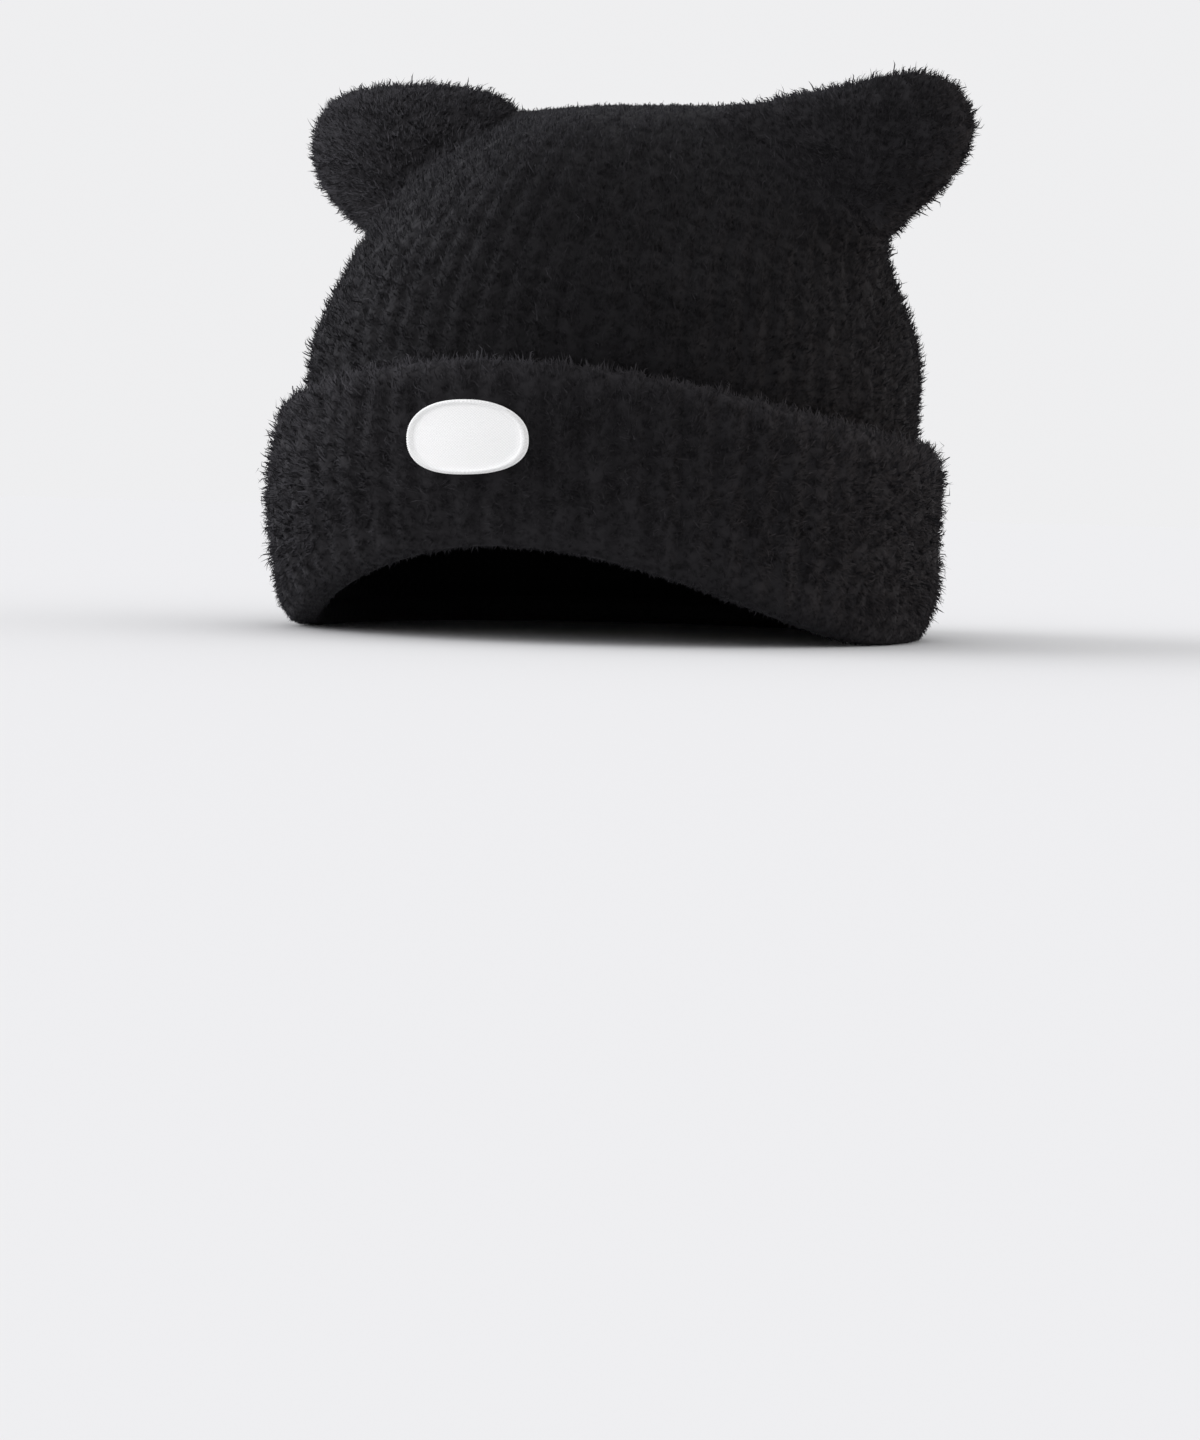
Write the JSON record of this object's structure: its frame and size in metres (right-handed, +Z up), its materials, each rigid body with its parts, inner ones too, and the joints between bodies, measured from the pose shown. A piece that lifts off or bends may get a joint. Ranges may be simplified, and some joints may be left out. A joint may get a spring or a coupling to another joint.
{
  "type": "knitted beanie with ears",
  "caption": "Soft fuzzy rib-knit beanie with a turned-up cuff, a pair of rounded ears on its shoulders and a blank oval patch, to be worn on the head.",
  "frame": {"origin": "on the surface that the hat stands on, under the middle of the hat", "axes": "+Z up, the front of the hat faces -Y, and +X is on the wearer's left"},
  "size_m": [0.2189, 0.2295, 0.1691],
  "materials": {
    "yarn": "black brushed yarn with a short soft pile",
    "patch_cloth": "plain white woven cloth"
  },
  "bodies": {
    "root": {"crown": "yarn", "cuff": "yarn", "ear_right": "yarn", "ear_left": "yarn", "patch": "patch_cloth"}
  },
  "joints": []
}
